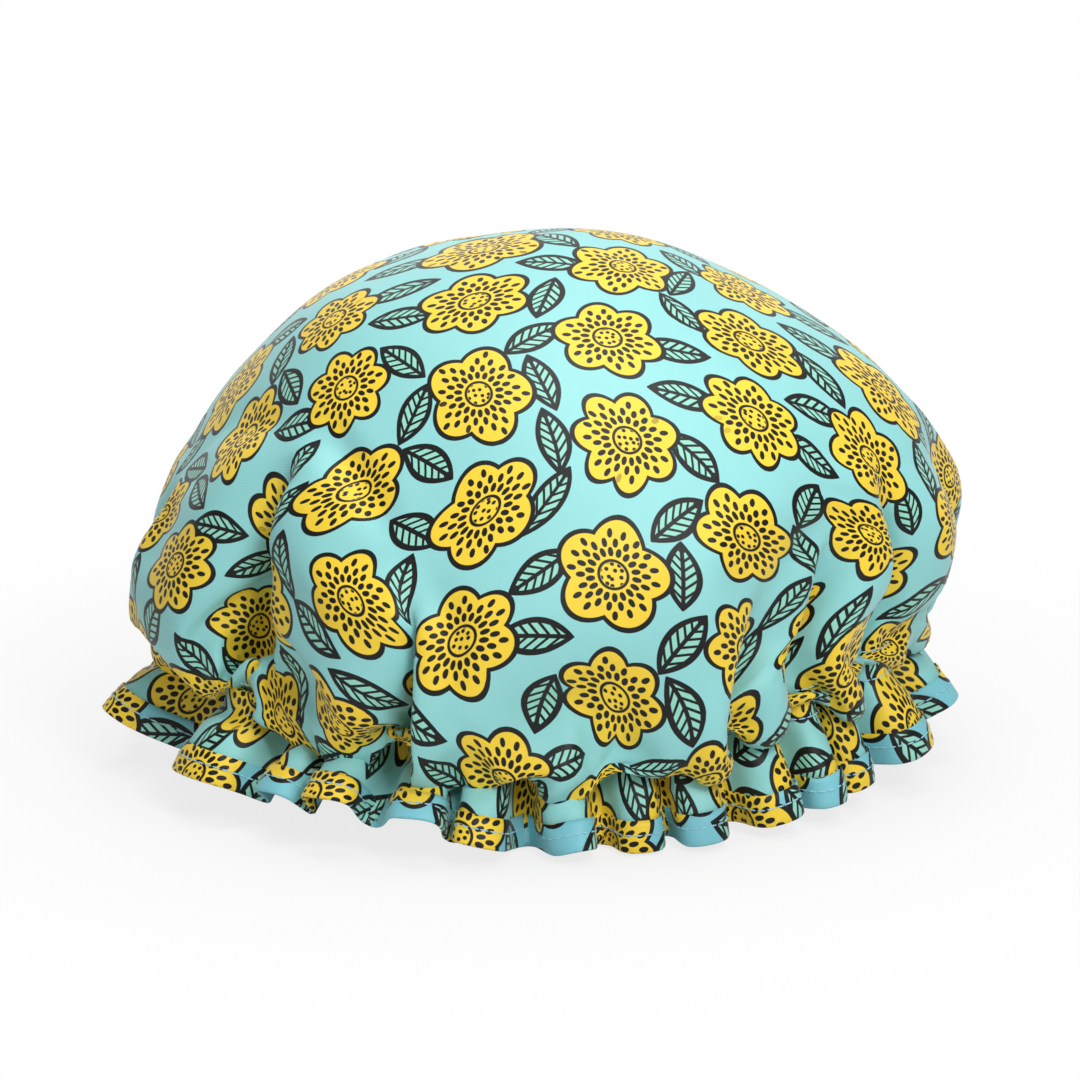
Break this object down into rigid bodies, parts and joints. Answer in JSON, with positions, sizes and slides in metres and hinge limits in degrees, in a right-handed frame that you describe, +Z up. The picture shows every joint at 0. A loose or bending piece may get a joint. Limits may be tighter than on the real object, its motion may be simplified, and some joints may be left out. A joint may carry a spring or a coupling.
{
  "type": "shower cap",
  "caption": "Puffed cloth shower cap with a film lining, gathered on elastic in a sewn casing, with a frill below it and a bound, topstitched edge.",
  "frame": {"origin": "centre of the frill's bound edge, on the plane that the cap stands on", "axes": "+Z up through the crown's apex, +Y towards the back where the elastic's ends are joined, +X to the right seen from the front"},
  "size_m": [0.288, 0.2876, 0.179],
  "materials": {
    "printed_cloth": "woven, soft satin sheen, printed",
    "binding_cloth": "woven, soft satin sheen, printed",
    "lining_film": "soft matt film",
    "tape_cloth": "plain woven",
    "elastic_weave": "braided",
    "sewing_thread": "spun thread"
  },
  "bodies": {
    "root": {"crown_cloth": "printed_cloth", "frill_cloth": "printed_cloth", "edge_binding": "binding_cloth", "waterproof_lining": "lining_film", "casing_tape": "tape_cloth", "elastic_band": "elastic_weave", "casing_stitch_upper": "sewing_thread", "casing_stitch_lower": "sewing_thread", "binding_stitch": "sewing_thread", "elastic_join_stitch": "sewing_thread"}
  },
  "joints": []
}
